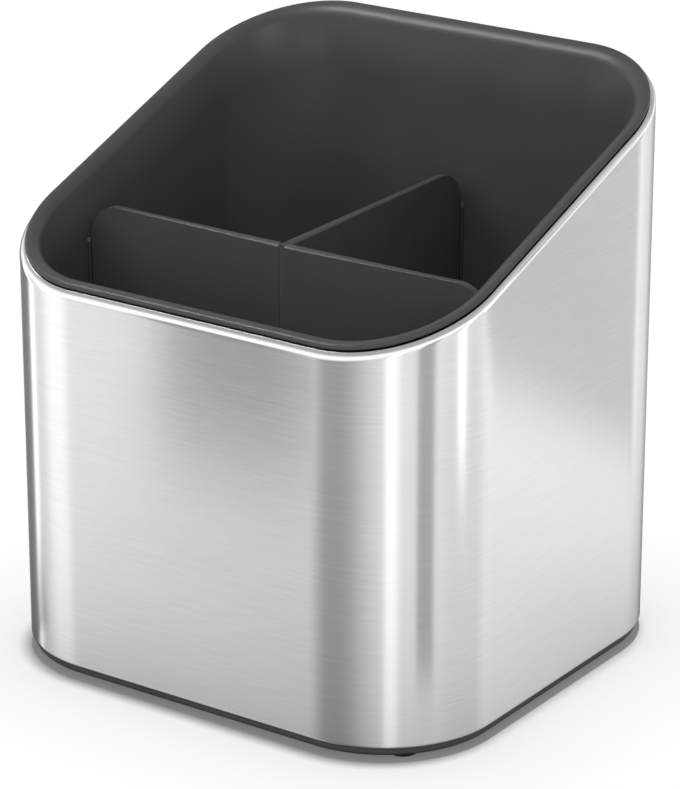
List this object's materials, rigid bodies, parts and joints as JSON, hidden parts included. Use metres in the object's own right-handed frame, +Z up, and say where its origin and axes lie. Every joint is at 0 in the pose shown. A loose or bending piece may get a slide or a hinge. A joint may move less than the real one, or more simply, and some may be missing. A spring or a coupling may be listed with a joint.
{
  "type": "kitchen utensil holder",
  "caption": "Countertop holder for kitchen utensils: a slant-topped brushed steel sleeve around a lift-out dark liner, divided into compartments by crossed lift-out panels",
  "frame": {"origin": "middle of the footprint, on the surface that the feet stand on", "axes": "+Z up; the low side of the slanted top is the front and faces -Y; +X is to the right of someone who stands in front and looks along +Y"},
  "size_m": [0.14, 0.1302, 0.1552],
  "materials": {
    "brushed_steel": "horizontal fine brushing, polished rolled rim",
    "base_plastic": "dark grey, satin",
    "liner_plastic": "dark grey, satin, very fine moulded texture",
    "divider_plastic": "dark grey, satin",
    "foot_rubber": "black, matte"
  },
  "bodies": {
    "housing": {"outer_sleeve": "brushed_steel", "base_tray": "base_plastic", "foot_front_left": "foot_rubber", "foot_front_right": "foot_rubber", "foot_back_left": "foot_rubber", "foot_back_right": "foot_rubber"},
    "liner": {"inner_liner": "liner_plastic"},
    "cross_panel": {"cross_divider": "divider_plastic"},
    "rear_panel": {"rear_divider": "divider_plastic"}
  },
  "joints": [
    {"name": "liner_lift", "type": "slide", "parent": "housing", "child": "liner", "axis": [0, 0, 1], "range_m": [0, 0.155]},
    {"name": "cross_divider_lift", "type": "slide", "parent": "liner", "child": "cross_panel", "axis": [0, 0, 1], "range_m": [0, 0.12]},
    {"name": "rear_divider_lift", "type": "slide", "parent": "cross_panel", "child": "rear_panel", "axis": [0, 0, 1], "range_m": [0, 0.15]}
  ]
}
